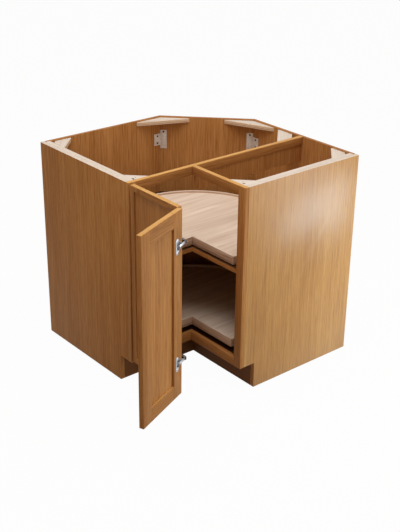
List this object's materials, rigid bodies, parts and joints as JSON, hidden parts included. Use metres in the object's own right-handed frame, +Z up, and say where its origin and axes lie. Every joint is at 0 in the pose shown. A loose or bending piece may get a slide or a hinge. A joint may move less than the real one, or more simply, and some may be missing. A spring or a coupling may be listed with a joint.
{
  "type": "corner carousel base cabinet",
  "caption": "L-shaped corner base cabinet with notched turning trays on its floor and shelf, a folding door hung on its left arm, a cut-off back corner and a recessed toe kick.",
  "frame": {"origin": "the foot of the diagonal back panel, midway along it and midway through its thickness, on the floor", "axes": "+Z up; +X and +Y are the outward normals of the two wall sides, so the left arm's front faces -Y and the right arm's front faces -X"},
  "size_m": [1.1703, 1.0212, 0.8763],
  "materials": {
    "veneer": "honey brown wood veneer, satin, grain upright",
    "solid_wood": "honey brown solid wood, satin, grain along each piece",
    "plain_board": "plain brown board",
    "toe_board": "dark brown board",
    "pale_wood": "unfinished pale wood",
    "tray_wood": "pale maple, clear satin",
    "zinc": "galvanised sheet steel",
    "nickel": "bright nickel plate"
  },
  "bodies": {
    "cabinet": {"left_end_panel": "veneer", "right_end_panel": "veneer", "left_back_panel": "veneer", "right_back_panel": "veneer", "diagonal_back_panel": "veneer", "cross_web": "veneer", "left_stile": "solid_wood", "right_stile": "solid_wood", "left_top_rail": "solid_wood", "right_top_rail": "solid_wood", "left_bottom_rail": "solid_wood", "right_bottom_rail": "solid_wood", "cabinet_floor": "plain_board", "fixed_shelf": "plain_board", "left_toe_board": "toe_board", "right_toe_board": "toe_board", "left_top_cleat": "pale_wood", "right_top_cleat": "pale_wood", "left_front_block": "pale_wood", "right_front_block": "pale_wood", "left_rear_block": "pale_wood", "right_rear_block": "pale_wood", "cross_rail_block": "pale_wood", "left_wide_block": "pale_wood", "right_wide_block": "pale_wood", "left_lock_bracket": "zinc", "right_lock_bracket": "zinc", "lower_tray_bearing_base": "zinc", "upper_tray_bearing_base": "zinc", "upper_swing_hinge_arm": "nickel", "lower_swing_hinge_arm": "nickel"},
    "hinge_leaf": {"hinge_leaf_hung_stile": "solid_wood", "hinge_leaf_fold_stile": "solid_wood", "hinge_leaf_bottom_rail": "solid_wood", "hinge_leaf_top_rail": "solid_wood", "hinge_leaf_panel": "veneer", "upper_swing_hinge_cup": "nickel", "upper_fold_hinge_arm": "nickel", "lower_swing_hinge_cup": "nickel", "lower_fold_hinge_arm": "nickel"},
    "outer_leaf": {"outer_leaf_fold_stile": "solid_wood", "outer_leaf_free_stile": "solid_wood", "outer_leaf_bottom_rail": "solid_wood", "outer_leaf_top_rail": "solid_wood", "outer_leaf_panel": "veneer", "upper_fold_hinge_cup": "nickel", "lower_fold_hinge_cup": "nickel"},
    "upper_tray": {"upper_tray_board": "tray_wood", "upper_tray_rim": "tray_wood", "upper_tray_left_edging": "tray_wood", "upper_tray_right_edging": "tray_wood", "upper_tray_hub": "tray_wood", "upper_tray_bearing_ring": "zinc"},
    "lower_tray": {"lower_tray_board": "tray_wood", "lower_tray_rim": "tray_wood", "lower_tray_left_edging": "tray_wood", "lower_tray_right_edging": "tray_wood", "lower_tray_hub": "tray_wood", "lower_tray_bearing_ring": "zinc"}
  },
  "joints": [
    {"name": "door_swing", "type": "hinge", "parent": "cabinet", "child": "hinge_leaf", "pos_m": [-0.74966, -0.46986, 0], "axis": [0, 0, 1], "range_deg": [-80, 90]},
    {"name": "door_fold", "type": "hinge", "parent": "hinge_leaf", "child": "outer_leaf", "pos_m": [-0.75716, -0.74216, 0], "axis": [0, 0, 1], "range_deg": [-22.5, 20]},
    {"name": "upper_tray_spin", "type": "hinge", "parent": "cabinet", "child": "upper_tray", "pos_m": [-0.32836, -0.32836, 0.522], "axis": [0, 0, 1], "range_deg": [-360, 360]},
    {"name": "lower_tray_spin", "type": "hinge", "parent": "cabinet", "child": "lower_tray", "pos_m": [-0.32836, -0.32836, 0.141], "axis": [0, 0, 1], "range_deg": [-360, 360]}
  ],
  "couplings": [
    {"joint": "door_fold", "follows": "door_swing", "ratio": -0.25}
  ]
}
